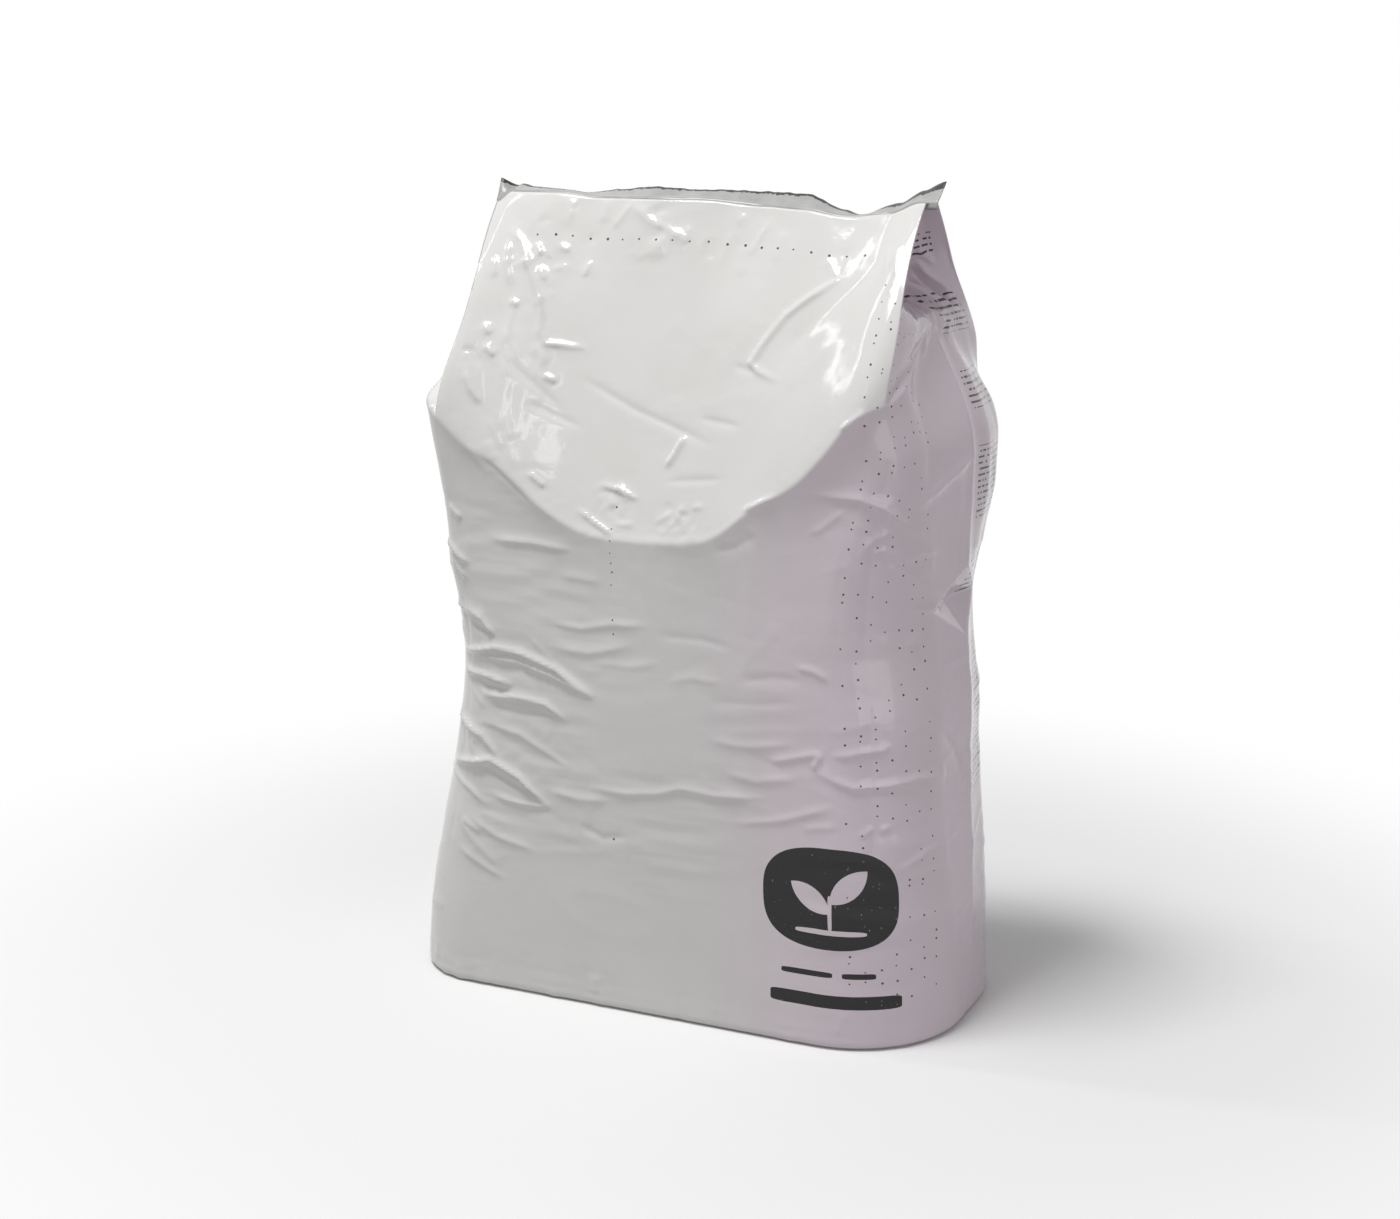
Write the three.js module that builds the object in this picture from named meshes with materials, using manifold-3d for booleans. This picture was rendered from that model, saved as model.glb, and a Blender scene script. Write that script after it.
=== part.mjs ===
// Filled compost sack, standing upright: a side-gusseted tube of thick polyethylene film, packed with
// compost and welded flat across the top. Film and fill are sealed together, so the sack is one solid.
// Millimetres, +Z up, front panel towards -Y, origin at the middle of the base.
import * as THREE from "three";
import { mergeVertices } from "three/addons/utils/BufferGeometryUtils.js";
import Module from "manifold-3d";

// The flat film tube
const PANEL_WIDTH = 407; // front and back panels, and so the weld
const GUSSET_WIDTH = 250; // each side of the tube, folded inwards along its middle

// The weld across the top
const BAG_HEIGHT = 700; // floor to the top of the weld
const WELD_HEIGHT = 18;
const WELD_THICK = 3; // four layers of film, flattened
const WELD_OVERLAP = 2; // how far the strip runs down into the closed mouth

// The filled body: plan sizes where it stands, where it is pinched and where the fill ends
const BASE_WIDTH = 490;
const BASE_DEPTH = 237;
const WAIST_WIDTH = 432;
const WAIST_DEPTH = 222;
const WAIST_HEIGHT = 315;
const SHOULDER_WIDTH = 446;
const SHOULDER_DEPTH = 230;
const SHOULDER_HEIGHT = 500;
const BASE_CORNER_RADIUS = 85; // the corners of the plan, which sharpen towards the folds
const SHOULDER_CORNER_RADIUS = 32;
const BASE_EDGE_RADIUS = 16; // where the loaded film turns under the base

// The middle of each panel, which bulges where it is full and falls back above the fill
const PANEL_BULGE = 16; // furthest that a panel stands out past the plan's straight side
const BULGE_HEIGHT = 240; // where it stands out furthest
const FILL_LINE_HEIGHT = 410; // where the middle of a panel starts to lean back to the weld

// The gusset, which opens as it comes down from the weld
const GUSSET_CLOSED = THREE.MathUtils.degToRad(1.4); // a half gusset to the panel, under the weld
const GUSSET_OPEN = THREE.MathUtils.degToRad(80); // the same at the shoulder
const FOLD_HEIGHT = 462; // where the edges of a panel start to draw in to their folds
const FOLD_BLEND = 125; // height over which the filled section turns into the folded one

// Mesh density
const PANEL_STEPS = 13; // across half a panel
const GUSSET_STEPS = 9; // across half a gusset
const BASE_STEPS = 4; // round the base edge
const BODY_STEPS = 16; // from the base edge to the fill line
const HEAD_STEPS = 18; // from the fill line to the weld

const halfPanel = PANEL_WIDTH / 2;
const halfGusset = GUSSET_WIDTH / 2;
const mouthHeight = BAG_HEIGHT - WELD_HEIGHT;
const { lerp, smoothstep } = THREE.MathUtils;

// A size that eases from station to station up the sack, level at each of them.
function alongHeight(stations, z) {
  const next = Math.max(1, stations.findIndex(([height]) => height >= z));
  const [lowHeight, lowSize] = stations[next - 1];
  const [highHeight, highSize] = stations[next];
  return lerp(lowSize, highSize, smoothstep(z, lowHeight, highHeight));
}

// How far the section is drawn in at the base edge, which is a quarter round.
function baseInset(z) {
  const below = Math.max(0, BASE_EDGE_RADIUS - z);
  return BASE_EDGE_RADIUS - Math.sqrt(BASE_EDGE_RADIUS ** 2 - below ** 2);
}

// A quarter of the filled section, from the middle of the front panel to the middle of the gusset.
function filledQuarter(z) {
  const level = Math.min(z, mouthHeight);
  const widths = [
    [0, BASE_WIDTH],
    [WAIST_HEIGHT, WAIST_WIDTH],
    [SHOULDER_HEIGHT, SHOULDER_WIDTH],
    [BAG_HEIGHT, PANEL_WIDTH],
  ];
  const depths = [
    [0, BASE_DEPTH],
    [WAIST_HEIGHT, WAIST_DEPTH],
    [SHOULDER_HEIGHT, SHOULDER_DEPTH],
    [BAG_HEIGHT, SHOULDER_DEPTH],
  ];
  const radii = [
    [0, BASE_CORNER_RADIUS],
    [SHOULDER_HEIGHT, SHOULDER_CORNER_RADIUS],
    [BAG_HEIGHT, SHOULDER_CORNER_RADIUS],
  ];
  const halfWidth = alongHeight(widths, level) / 2 - baseInset(z);
  const halfDepth = alongHeight(depths, level) / 2 - baseInset(z);
  const radius = alongHeight(radii, level) - baseInset(z);
  const quarter = new THREE.Path().moveTo(0, -halfDepth);
  quarter.lineTo(halfWidth - radius, -halfDepth);
  quarter.absarc(halfWidth - radius, radius - halfDepth, radius, -Math.PI / 2, 0);
  quarter.lineTo(halfWidth, 0);
  return quarter;
}

// How far the middle of a panel bulges past the plan: most at BULGE_HEIGHT, none at the floor.
function panelBulge(z) {
  const stations = [
    [0, 0],
    [BULGE_HEIGHT, PANEL_BULGE],
    [BAG_HEIGHT, 0],
  ];
  return alongHeight(stations, z);
}

// How far the gusset has closed: 0 at the shoulder and below it, 1 at the weld.
function closing(z) {
  return THREE.MathUtils.clamp((z - SHOULDER_HEIGHT) / (mouthHeight - SHOULDER_HEIGHT), 0, 1);
}

// A point of the folded head at a distance along the film from the middle of the front panel. Each half
// gusset is a stiff flap that swings on the panel's edge, so its fold moves in as the mouth closes.
function foldedPoint(film, z) {
  const angle = lerp(GUSSET_OPEN, GUSSET_CLOSED, closing(z));
  const edgeDepth = halfGusset * Math.sin(angle);
  if (film > halfPanel) {
    const share = (film - halfPanel) / halfGusset;
    const foldX = halfPanel - halfGusset * Math.cos(angle);
    return new THREE.Vector2(lerp(halfPanel, foldX, share), -edgeDepth * (1 - share));
  }
  const lean = THREE.MathUtils.clamp((mouthHeight - z) / (mouthHeight - FILL_LINE_HEIGHT), 0, 1);
  const mouthDepth = halfGusset * Math.sin(GUSSET_CLOSED);
  const middleDepth = lerp(mouthDepth, SHOULDER_DEPTH / 2 + PANEL_BULGE, lean);
  const across = smoothstep(film, 0, halfPanel);
  return new THREE.Vector2(film, -lerp(middleDepth, edgeDepth, across));
}

// A point of the film: the filled section below, the folded head above. The middle of a panel leaves the
// fill first and its edges leave it higher up, which draws a shallow U across the panel.
function filmPoint(film, z, quarter) {
  const across = Math.min(1, film / halfPanel);
  const filled = quarter.getPointAt(film / (halfPanel + halfGusset));
  filled.y -= panelBulge(z) * (1 - across ** 2);
  const leaves = lerp(FILL_LINE_HEIGHT, FOLD_HEIGHT, across ** 2);
  const blend = Math.min(FOLD_BLEND, mouthHeight - leaves);
  return filled.lerp(foldedPoint(film, z), smoothstep(z, leaves, leaves + blend));
}

// Distances along the film of a quarter's points, with one on the panel's edge and one on the fold.
function filmStations() {
  const stations = [];
  for (let i = 0; i < PANEL_STEPS; i++) stations.push((halfPanel * i) / PANEL_STEPS);
  for (let i = 0; i <= GUSSET_STEPS; i++) stations.push(halfPanel + (halfGusset * i) / GUSSET_STEPS);
  return stations;
}

// The whole outline at a height, counter-clockwise from above: one quarter and its three mirror images.
function outline(z) {
  const path = filledQuarter(z);
  const quarter = filmStations().map((film) => filmPoint(film, z, path));
  const mirrored = (points, sx, sy) => points.map((p) => new THREE.Vector2(p.x * sx, p.y * sy));
  const inner = quarter.slice(1, -1).reverse();
  return [
    ...mirrored(quarter, 1, 1),
    ...mirrored(inner, 1, -1),
    ...mirrored([quarter[0]], 1, -1),
    ...mirrored(quarter.slice(1), -1, -1),
    ...mirrored(inner, -1, 1),
  ];
}

// Heights of the sections, closest together where the film turns under the base.
function sectionHeights() {
  const heights = [];
  for (let i = 0; i < BASE_STEPS; i++) {
    heights.push(BASE_EDGE_RADIUS * (1 - Math.cos((Math.PI / 2) * (i / BASE_STEPS))));
  }
  for (let i = 0; i < BODY_STEPS; i++) {
    heights.push(lerp(BASE_EDGE_RADIUS, FILL_LINE_HEIGHT, i / BODY_STEPS));
  }
  for (let i = 0; i <= HEAD_STEPS; i++) {
    heights.push(lerp(FILL_LINE_HEIGHT, mouthHeight, i / HEAD_STEPS));
  }
  return heights;
}

// A closed skin through the outlines, with flat ends.
function loft(heights, outlines) {
  const count = outlines[0].length;
  const positions = heights.flatMap((z, ring) => outlines[ring].flatMap((p) => [p.x, p.y, z]));
  const index = [];
  for (let ring = 0; ring + 1 < heights.length; ring++) {
    for (let i = 0; i < count; i++) {
      const a = ring * count + i;
      const b = ring * count + ((i + 1) % count);
      index.push(a, b, b + count, a, b + count, a + count);
    }
  }
  const top = (heights.length - 1) * count;
  const bottomFaces = THREE.ShapeUtils.triangulateShape(outlines[0], []);
  const topFaces = THREE.ShapeUtils.triangulateShape(outlines[heights.length - 1], []);
  for (const [a, b, c] of bottomFaces) index.push(a, c, b);
  for (const [a, b, c] of topFaces) index.push(top + a, top + b, top + c);
  const skin = new THREE.BufferGeometry();
  skin.setAttribute("position", new THREE.Float32BufferAttribute(positions, 3));
  return skin.setIndex(index);
}

const wasm = await Module();
wasm.setup();

// A closed geometry as a solid that can be joined to another.
function solidOf(geometry) {
  const bare = new THREE.BufferGeometry();
  bare.setAttribute("position", geometry.getAttribute("position"));
  bare.setIndex(geometry.index);
  const merged = mergeVertices(bare);
  const vertProperties = merged.getAttribute("position").array;
  const triVerts = new Uint32Array(merged.index.array);
  return new wasm.Manifold(new wasm.Mesh({ numProp: 3, vertProperties, triVerts }));
}

// A solid back as a geometry for a mesh.
function geometryOf(solid) {
  const { vertProperties, triVerts } = solid.getMesh();
  const geometry = new THREE.BufferGeometry();
  geometry.setAttribute("position", new THREE.BufferAttribute(vertProperties, 3));
  geometry.setIndex(new THREE.BufferAttribute(triVerts, 1));
  geometry.computeVertexNormals();
  return geometry;
}

// The body of the sack, from the floor to its closed mouth.
function sackBody() {
  const heights = sectionHeights();
  return loft(heights, heights.map(outline));
}

// The flat strip where the panels and the folded gussets are welded together.
function weldStrip() {
  const strip = new THREE.BoxGeometry(PANEL_WIDTH, WELD_THICK, WELD_HEIGHT + WELD_OVERLAP);
  return strip.translate(0, 0, BAG_HEIGHT - (WELD_HEIGHT + WELD_OVERLAP) / 2);
}

const film = new THREE.MeshStandardMaterial({ color: 0xdad8da, roughness: 0.35, metalness: 0 });
const sack = new THREE.Mesh(geometryOf(solidOf(sackBody()).add(solidOf(weldStrip()))), film);
sack.name = "compost_sack";

const compostBag = new THREE.Group();
compostBag.add(sack);

export default compostBag;
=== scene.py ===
# %% [markdown]
# # A filled compost sack
#
# The object is one tube of thick white polyethylene film with a gusset folded into each side. It is filled
# with compost, welded flat across the top and set down upright. This lesson builds the film as one surface,
# settles it over its fill with a small simulation of its own, and then gives it the gloss, print and needle
# holes of the real film.
#
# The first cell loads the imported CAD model. It is the frame that everything else is built in, in metres.

# %% Load the frame
import math
import bpy
import numpy as np
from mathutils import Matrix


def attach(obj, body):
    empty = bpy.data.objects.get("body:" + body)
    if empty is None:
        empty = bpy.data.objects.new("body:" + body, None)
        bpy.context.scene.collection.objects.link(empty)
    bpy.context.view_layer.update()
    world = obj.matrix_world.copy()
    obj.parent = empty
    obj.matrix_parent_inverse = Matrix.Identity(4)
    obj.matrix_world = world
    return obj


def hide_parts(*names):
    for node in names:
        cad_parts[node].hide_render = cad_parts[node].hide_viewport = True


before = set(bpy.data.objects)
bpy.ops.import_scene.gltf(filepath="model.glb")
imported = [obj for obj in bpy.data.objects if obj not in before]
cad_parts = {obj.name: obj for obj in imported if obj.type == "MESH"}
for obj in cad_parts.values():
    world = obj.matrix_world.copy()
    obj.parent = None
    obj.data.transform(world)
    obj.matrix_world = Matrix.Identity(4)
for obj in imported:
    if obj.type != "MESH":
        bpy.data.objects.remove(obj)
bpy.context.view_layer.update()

# %% [markdown]
# ## The film and how it is measured
#
# A place on the film has two distances. One runs round the tube from the middle of the front panel. The
# other runs up the film from the edge of the base. Every crease, hole and printed shape below is placed with
# these two distances, because they stay true however the film is bent.
#
# The grid has a column exactly on each panel's edge and on each gusset's fold, where the film is creased.

# %% Film grid
PANEL_HALF = 0.2035
GUSSET_HALF = 0.125
QUARTER = PANEL_HALF + GUSSET_HALF
TUBE = 4 * QUARTER
FILM_HEIGHT = 0.716
MOUTH_HEIGHT = 0.682
PANEL_COLUMNS = 100
GUSSET_COLUMNS = 60
ROWS = 353


def film_columns(panel_columns, gusset_columns):
    """Distances round the tube: a quarter's stations, then its three mirror images."""
    panel = np.linspace(0, PANEL_HALF, panel_columns + 1)
    gusset = np.linspace(PANEL_HALF, QUARTER, gusset_columns + 1)[1:]
    quarter = np.concatenate([panel, gusset])
    half = np.concatenate([quarter, 2 * QUARTER - quarter[-2::-1]])
    return np.concatenate([half, TUBE - half[-2:0:-1]])


def wrapped(s):
    """A distance round the tube, from -half to half of the way round."""
    return (s + TUBE / 2) % TUBE - TUBE / 2


around = film_columns(PANEL_COLUMNS, GUSSET_COLUMNS)
up = np.linspace(0, FILM_HEIGHT, ROWS)
print("film grid", len(around), "columns", len(up), "rows")

# %% [markdown]
# ## The settled shape
#
# Below the fill line the section is a rounded rectangle, drawn in at a waist where the compost has slumped.
# Above it the two panels lean together to the weld and the gussets fold in between them. The line between
# the two draws a U across each panel, and from the panel's edge it runs on up the gusset as a slanted crease.
# The shape could be sculpted, but it follows from a few sizes, so it is a formula: the filled section and
# the folded section at the same film distance, exchanged along that line.

# %% Helpers for smooth sizes
def ease(x, low, high):
    """0 below low, 1 above high, and the smooth S of 3k^2 - 2k^3 between them."""
    k = np.clip((x - low) / (high - low), 0, 1)
    return k * k * (3 - 2 * k)


def ramp(x, low, high, soft):
    """0 below low, then a straight climb to 1 at high. The bend at low is a hyperbola, soft metres wide."""
    climb = (x - low + np.sqrt((x - low) ** 2 + soft**2)) / 2
    return climb / ((high - low + math.hypot(high - low, soft)) / 2)


def along(x, *stops):
    """A size that eases from one (place, size) stop to the next."""
    size = stops[0][1]
    for (low, start), (high, end) in zip(stops, stops[1:]):
        size = size + (end - start) * ease(x, low, high)
    return size


def mix(start, end, share):
    """The share of the way from start to end."""
    return start + (end - start) * share


# %% Section round the fill
BASE_EDGE_RADIUS = 0.007


def filled_section(film, z, side, hollow):
    """The section at a film distance from the panel's middle: a share of the walk along a rounded
    rectangle, straight along the front, round the corner's arc, then along the side. On the right the film
    has slipped a little towards the gusset. The panel's middle bulges, the gusset's old fold stands out as a
    ridge, and a hollow draws the film in."""
    right = along(z, (0, 0.2495), (0.25, 0.2295), (0.36, 0.2195), (0.49, 0.227), (0.61, 0.186),
                  (0.70, 0.18))
    left = along(z, (0, 0.246), (0.31, 0.1985), (0.39, 0.209), (0.52, 0.223), (0.70, 0.2035))
    below = np.maximum(0, BASE_EDGE_RADIUS - z)
    inset = BASE_EDGE_RADIUS - np.sqrt(BASE_EDGE_RADIUS**2 - below**2)
    half_width = np.where(side > 0, right, left) - inset
    half_depth = along(z, (0, 0.125), (0.315, 0.112), (0.50, 0.115)) - inset
    round_right = along(z, (0, 0.098), (0.22, 0.07), (0.33, 0.07), (0.50, 0.048))
    radius = np.where(side > 0, round_right, along(z, (0, 0.068), (0.50, 0.032))) - inset
    front = half_width - radius
    arc = radius * np.pi / 2
    near_edge = np.minimum(film / PANEL_HALF, (QUARTER - film) / GUSSET_HALF)
    slipped = film + 0.012 * ease(z, 0.42, 0.53) * (side > 0) * near_edge
    walked = slipped / QUARTER * (front + arc + half_depth - radius)
    turn = np.clip((walked - front) / radius, 0, np.pi / 2)
    x = np.minimum(walked, front) + radius * np.sin(turn)
    y = half_depth - radius * (1 - np.cos(turn)) - np.maximum(walked - front - arc, 0)
    bulge = along(z, (0, 0), (0.30, 0.017), (0.70, 0))
    ridge = along(z, (0, 0), (0.20, 0.012), (0.36, 0.0165), (0.50, 0.0105), (0.60, 0.012))
    on_gusset = np.clip((film - PANEL_HALF) / GUSSET_HALF, 0, 1)
    x = x + ridge * on_gusset**2 - hollow * np.sin(turn)
    y = y + bulge * (1 - np.minimum(1, film / PANEL_HALF) ** 2) - hollow * np.cos(turn)
    return x, y


# %% Line where the film leaves the fill
FILL_LINE_HEIGHT = 0.41
# Distances from the panel's middle, and the heights of the line there
RIGHT_ARM = [
    (0, 0.045, 0.068, 0.096, 0.117, 0.135, 0.147, 0.156, 0.170, 0.181, 0.192, 0.2035),
    (0.415, 0.418, 0.423, 0.453, 0.467, 0.477, 0.497, 0.518, 0.533, 0.543, 0.548, 0.551),
]
LEFT_ARM = [
    (0, 0.050, 0.080, 0.112, 0.144, 0.167, 0.179, 0.2035),
    (0.415, 0.416, 0.425, 0.446, 0.474, 0.486, 0.490, 0.520),
]
GUSSET_CLIMB = 0.06  # from the panel's edge to the gusset's fold


def height_on_film(t):
    """Height of a film row: straight up to the fill line, then along the slope of the head."""
    lost = FILM_HEIGHT - MOUTH_HEIGHT
    return np.maximum(0, t - lost * ramp(t, FILL_LINE_HEIGHT, FILM_HEIGHT, 0.03))


def leaving_line(film, side):
    """How far up the film leaves its fill: low in the middle of a panel and high at its edges, which draws
    a U across it. The corners between its points are rounded off by a mean over 30 mm of film."""
    near = [np.abs(film + step) for step in np.linspace(-0.015, 0.015, 7)]
    right = np.mean([np.interp(place, *RIGHT_ARM) for place in near], axis=0)
    left = np.mean([np.interp(place, *LEFT_ARM) for place in near], axis=0)
    return np.where(side > 0, right, left)


# %% Section of the head
MOUTH_DEPTH = 0.0015
FOLD_REACH = 0.075


def folded_section(film, z, side):
    """The section of the head. A panel is straight from the place where it leaves the fill up to the mouth.
    Each half gusset is a flap between the panel's edge and the fold, which goes in just under the mouth."""
    on_panel = np.minimum(film, PANEL_HALF)
    low = height_on_film(leaving_line(on_panel, side))
    x_low, y_low = filled_section(on_panel, low, side, 0)
    share = (z - low) / (MOUTH_HEIGHT - low)
    x = mix(x_low, on_panel, share)
    y = mix(y_low, MOUTH_DEPTH, np.maximum(0, share) ** (1 + 0.5 * (on_panel / PANEL_HALF) ** 2))
    fold_x = PANEL_HALF - FOLD_REACH * ease(z, 0.588, 0.63)
    on_gusset = np.clip((film - PANEL_HALF) / GUSSET_HALF, 0, 1)
    drawn_in = 0.045 * ease(z, 0.50, 0.60) * (1 - ease(z, 0.60, 0.69))
    x = mix(x, fold_x, on_gusset)
    return np.where(side < 0, x * (1 - drawn_in), x), y * (1 - on_gusset)


def mouth_wave(x):
    """How far the line under the weld strays from straight, back and up. It sags on the right, where the
    film is slack."""
    sway = 0.004 * np.sin(x / 0.05 + 0.6) + 0.003 * np.sin(x / 0.021)
    rise = along(x, (-0.2035, -0.004), (-0.185, 0.005), (-0.14, 0.005), (-0.10, 0.001), (-0.01, 0.001),
                 (0.05, -0.0035), (0.085, -0.005), (0.127, -0.010), (0.16, -0.007), (0.19, 0.0025))
    return sway, rise


# %% The whole smooth sack
def head_share(film, t, side, facing):
    """0 on the fill, 1 in the head. A gusset leaves its fill higher than the panel, along a slanted crease
    from the panel's edge. The creases are sharp at the front and soft at the back."""
    on_gusset = np.clip((film - PANEL_HALF) / GUSSET_HALF, 0, 1)
    low = leaving_line(film, side) - 0.002 + GUSSET_CLIMB * on_gusset
    high = low + mix(0.010, 0.022, ease(on_gusset, 0, 0.3))
    sharp = np.clip((t - low) / (high - low), 0, 1)
    soft = ease(t, low - 0.05 * (1 - on_gusset), high + 0.04 * (1 - on_gusset))
    return np.where(facing < 0, sharp * (2 - sharp), soft)


HOLLOW_PLACES = (-0.20, -0.12, 0, 0.10, 0.18, 0.26, QUARTER)
HOLLOW_DEPTHS = (0.003, 0.004, 0.0015, 0.003, 0.009, 0.009, 0.002)
HOLLOW_REACH = 0.055


def sack_form(s, t):
    """The smooth sack. s runs round the film from the front's middle and t up it. Under the line where the
    front leaves its fill, the film is hollow. On the right a dent pinches the fold at the waist, a tuck draws
    the panels' edges in to the weld, and the rear of the gusset swells."""
    z = height_on_film(t)
    side = np.where(s < 2 * QUARTER, 1.0, -1.0)
    half = np.minimum(s, TUBE - s)
    film = QUARTER - np.abs(half - QUARTER)
    facing = np.where(half <= QUARTER, -1.0, 1.0)
    slant = GUSSET_CLIMB * np.maximum(0, film - PANEL_HALF) / GUSSET_HALF
    below = np.maximum(0, leaving_line(film, side) + slant - t) / HOLLOW_REACH
    depth = np.interp(side * film, HOLLOW_PLACES, HOLLOW_DEPTHS)
    hollow = depth * below * np.exp(1 - below) * (facing < 0)
    x_full, y_full = filled_section(film, z, side, hollow)
    x_fold, y_fold = folded_section(film, z, side)
    folded = head_share(film, t, side, facing)
    dent = 0.021 * np.maximum(0, 1 - np.abs(t - 0.362) / 0.030 - np.abs(half - QUARTER) / 0.055)
    tuck = 0.009 * ease(t, 0.58, 0.71) * np.exp(-(((half - PANEL_HALF) / 0.03) ** 2))
    rear = 0.008 * ease(half, QUARTER, QUARTER + 0.04) * ease(z, 0.36, 0.45) * (1 - ease(z, 0.56, 0.64))
    moved = rear * (facing > 0) - dent - tuck
    x = side * (mix(x_full, x_fold, folded) + moved * (side > 0))
    y = facing * mix(y_full, y_fold, folded)
    near_mouth = ease(t, 0.60, FILM_HEIGHT)
    sway, rise = mouth_wave(x)
    return np.stack(np.broadcast_arrays(x, y + sway * near_mouth, z + rise * near_mouth), axis=-1)


form = sack_form(around[None, :], up[:, None])
print("form box", form.reshape(-1, 3).min(0).round(4), form.reshape(-1, 3).max(0).round(4))

# %% [markdown]
# ## Slack, folds and the fill
#
# The film is a little longer than the path it has to cover, so it buckles into folds wherever the sack has
# slumped. Cloth physics could find those folds, but film hardly stretches at all, and a length that is
# simply kept shows this best: every short length of film is put back to its own length, again and again,
# while the fill keeps the film from sinking in. This is position based dynamics in whole numpy arrays.
#
# The folds start from strokes, each a sharp ridge or groove along a line on the film. The clear creases of
# the real sack are placed one by one in millimetres of film, and smaller ones are scattered by zone from a
# fixed seed.

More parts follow.
